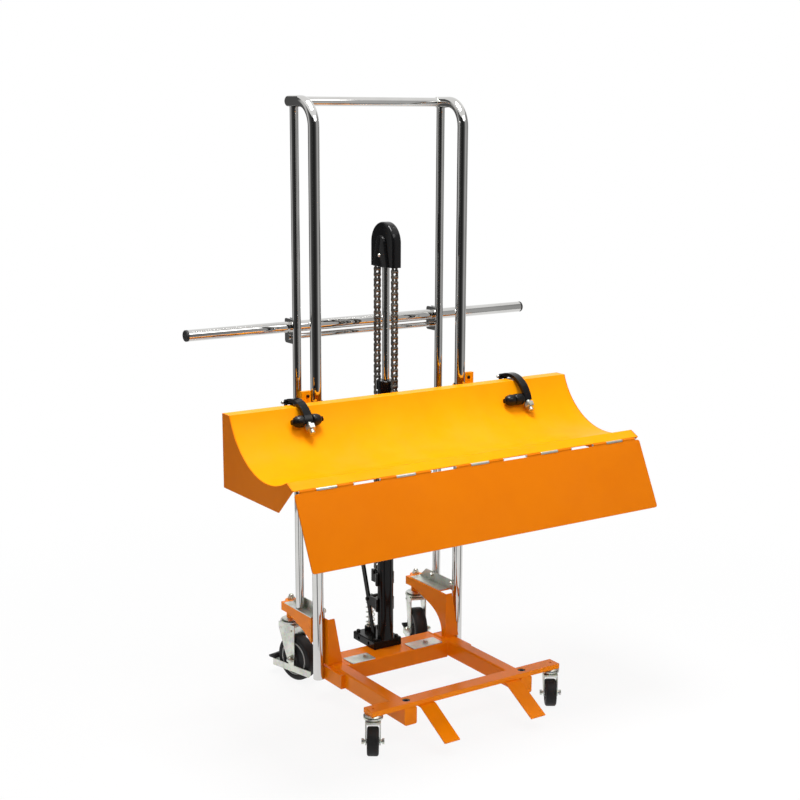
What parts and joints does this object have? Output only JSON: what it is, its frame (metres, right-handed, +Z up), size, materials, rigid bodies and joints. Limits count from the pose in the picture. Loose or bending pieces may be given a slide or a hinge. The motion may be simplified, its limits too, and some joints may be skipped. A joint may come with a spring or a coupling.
{
  "type": "hydraulic roll lifter",
  "caption": "Manual hydraulic roll lifter: wheeled base, chromed tube mast with a pumped chain lift, and a wide sheet trough with a hinged loading flap and roller-tipped retainer arms.",
  "frame": {"origin": "on the floor, under the middle of the overall box at rest", "axes": "+Z up, front (loading flap) toward -Y, +X to the right seen from the front"},
  "size_m": [1.17, 0.8145, 1.741],
  "materials": {
    "frame_paint": "gloss orange powder coat",
    "trough_paint": "gloss yellow-orange powder coat",
    "chrome": "bright chrome plate",
    "zinc": "bright zinc plate",
    "black_paint": "gloss black paint",
    "chain_steel": "oiled dark steel",
    "rubber": "matt black rubber",
    "tyre": "matt black tyre on a grey core",
    "plastic": "matt black plastic"
  },
  "bodies": {
    "frame": {"side_rails": "frame_paint", "rear_crossmember": "frame_paint", "front_crossbar": "frame_paint", "ramp_plates": "frame_paint", "foot_plates": "frame_paint", "mast_brackets": "frame_paint", "zinc_plates": "zinc", "front_tube_left": "chrome", "front_tube_right": "chrome", "rear_tubes": "chrome", "top_cross_tube": "chrome", "push_bar": "chrome", "push_bar_caps": "plastic", "bar_brackets": "zinc", "tie_rod": "chrome", "frame_screws": "zinc", "pump_block": "black_paint", "cylinder_tube": "black_paint", "cylinder_gland": "black_paint", "pump_housing": "black_paint", "lever_bracket": "black_paint", "chain_anchor": "black_paint", "caster_stems": "zinc"},
    "lift_piston": {"piston_rod": "chrome", "sprocket_yoke": "black_paint", "sprocket_axle": "zinc", "sprocket_cover": "black_paint", "cover_bolts": "zinc", "chain_rear_strand": "chain_steel", "chain_wrap": "chain_steel"},
    "sprocket": {"chain_sprocket": "chain_steel"},
    "carriage": {"trough_skin": "trough_paint", "trough_back": "trough_paint", "trough_underside": "trough_paint", "trough_ends": "trough_paint", "guide_brackets": "trough_paint", "guide_bushes": "plastic", "chain_lug": "trough_paint", "hinge_pins": "zinc", "arm_hinges": "black_paint", "chain_front_strand": "chain_steel"},
    "flap": {"loading_flap": "trough_paint"},
    "pump_lever": {"pump_lever": "zinc"},
    "plunger": {"pump_plunger": "zinc", "return_spring": "chain_steel"},
    "release": {"release_lever": "zinc"},
    "arm_left": {"retainer_arm_left": "black_paint"},
    "arm_rollers_left": {"arm_rollers_left": "rubber"},
    "arm_right": {"retainer_arm_right": "black_paint"},
    "arm_rollers_right": {"arm_rollers_right": "rubber"},
    "rear_swivel_left": {"rear_fork_left": "zinc"},
    "rear_wheel_left": {"rear_wheel_left": "tyre"},
    "rear_brake_left": {"rear_brake_left": "zinc"},
    "front_swivel_left": {"front_fork_left": "zinc"},
    "front_wheel_left": {"front_wheel_left": "tyre"},
    "rear_swivel_right": {"rear_fork_right": "zinc"},
    "rear_wheel_right": {"rear_wheel_right": "tyre"},
    "rear_brake_right": {"rear_brake_right": "zinc"},
    "front_swivel_right": {"front_fork_right": "zinc"},
    "front_wheel_right": {"front_wheel_right": "tyre"}
  },
  "joints": [
    {"name": "piston_lift", "type": "slide", "parent": "frame", "child": "lift_piston", "axis": [0, 0, 1], "range_m": [-0.25, 0.33], "deforming": ["chain_rear_strand", "chain_wrap"]},
    {"name": "carriage_lift", "type": "slide", "parent": "lift_piston", "child": "carriage", "axis": [0, 0, 1], "range_m": [-0.25, 0.33], "deforming": ["chain_front_strand"]},
    {"name": "sprocket_spin", "type": "hinge", "parent": "lift_piston", "child": "sprocket", "pos_m": [0, 0.1552, 1.331], "axis": [1, 0, 0], "range_deg": [-415, 315]},
    {"name": "flap_hinge", "type": "hinge", "parent": "carriage", "child": "flap", "pos_m": [0, -0.3098, 0.77454], "axis": [-1, 0, 0], "range_deg": [0, 150]},
    {"name": "arm_left_hinge", "type": "hinge", "parent": "carriage", "child": "arm_left", "pos_m": [-0.358, 0.0952, 0.91413], "axis": [-1, 0, 0], "range_deg": [0, 110]},
    {"name": "arm_rollers_left_spin", "type": "hinge", "parent": "arm_left", "child": "arm_rollers_left", "pos_m": [-0.358, -0.0043, 0.87855], "axis": [1, 0, 0], "continuous": true},
    {"name": "arm_right_hinge", "type": "hinge", "parent": "carriage", "child": "arm_right", "pos_m": [0.388, 0.0952, 0.91413], "axis": [-1, 0, 0], "range_deg": [0, 110]},
    {"name": "arm_rollers_right_spin", "type": "hinge", "parent": "arm_right", "child": "arm_rollers_right", "pos_m": [0.388, -0.0153, 0.86304], "axis": [1, 0, 0], "continuous": true},
    {"name": "lever_stroke", "type": "hinge", "parent": "frame", "child": "pump_lever", "pos_m": [-0.018, 0.2172, 0.243], "axis": [-1, 0, 0], "range_deg": [0, 45], "stiffness_Nm_per_rad": 4, "springref_deg": -28.65},
    {"name": "plunger_stroke", "type": "slide", "parent": "frame", "child": "plunger", "axis": [0, 0, -1], "range_m": [0, 0.0165], "deforming": ["return_spring"]},
    {"name": "release_turn", "type": "hinge", "parent": "frame", "child": "release", "pos_m": [0.028, 0.2622, 0.11775], "axis": [0, 1, 0], "range_deg": [0, 30], "stiffness_Nm_per_rad": 0.3, "springref_deg": -28.65},
    {"name": "rear_swivel_left_turn", "type": "hinge", "parent": "frame", "child": "rear_swivel_left", "pos_m": [-0.229, 0.3282, 0.07], "axis": [0, 0, 1], "continuous": true},
    {"name": "rear_wheel_left_spin", "type": "hinge", "parent": "rear_swivel_left", "child": "rear_wheel_left", "pos_m": [-0.22293, 0.30189, 0.07], "axis": [0.9744, 0.225, 0], "continuous": true},
    {"name": "rear_brake_left_press", "type": "hinge", "parent": "rear_swivel_left", "child": "rear_brake_left", "pos_m": [-0.22293, 0.30189, 0.07], "axis": [-0.9744, -0.225, 0], "range_deg": [0, 10]},
    {"name": "front_swivel_left_turn", "type": "hinge", "parent": "frame", "child": "front_swivel_left", "pos_m": [-0.308, -0.2588, 0.04], "axis": [0, 0, 1], "continuous": true},
    {"name": "front_wheel_left_spin", "type": "hinge", "parent": "front_swivel_left", "child": "front_wheel_left", "pos_m": [-0.32366, -0.28201, 0.04], "axis": [0.829, -0.5592, 0], "continuous": true},
    {"name": "rear_swivel_right_turn", "type": "hinge", "parent": "frame", "child": "rear_swivel_right", "pos_m": [0.229, 0.3282, 0.07], "axis": [0, 0, 1], "continuous": true},
    {"name": "rear_wheel_right_spin", "type": "hinge", "parent": "rear_swivel_right", "child": "rear_wheel_right", "pos_m": [0.21932, 0.30299, 0.07], "axis": [0.9336, -0.3584, 0], "continuous": true},
    {"name": "rear_brake_right_press", "type": "hinge", "parent": "rear_swivel_right", "child": "rear_brake_right", "pos_m": [0.21932, 0.30299, 0.07], "axis": [-0.9336, 0.3584, 0], "range_deg": [0, 10]},
    {"name": "front_swivel_right_turn", "type": "hinge", "parent": "frame", "child": "front_swivel_right", "pos_m": [0.308, -0.2588, 0.04], "axis": [0, 0, 1], "continuous": true},
    {"name": "front_wheel_right_spin", "type": "hinge", "parent": "front_swivel_right", "child": "front_wheel_right", "pos_m": [0.29234, -0.28201, 0.04], "axis": [0.829, -0.5592, 0], "continuous": true}
  ],
  "couplings": [
    {"joint": "carriage_lift", "follows": "piston_lift", "ratio": 1},
    {"joint": "sprocket_spin", "follows": "piston_lift", "rad_per_m": -21.877},
    {"joint": "plunger_stroke", "follows": "lever_stroke", "m_per_rad": 0.0208}
  ]
}
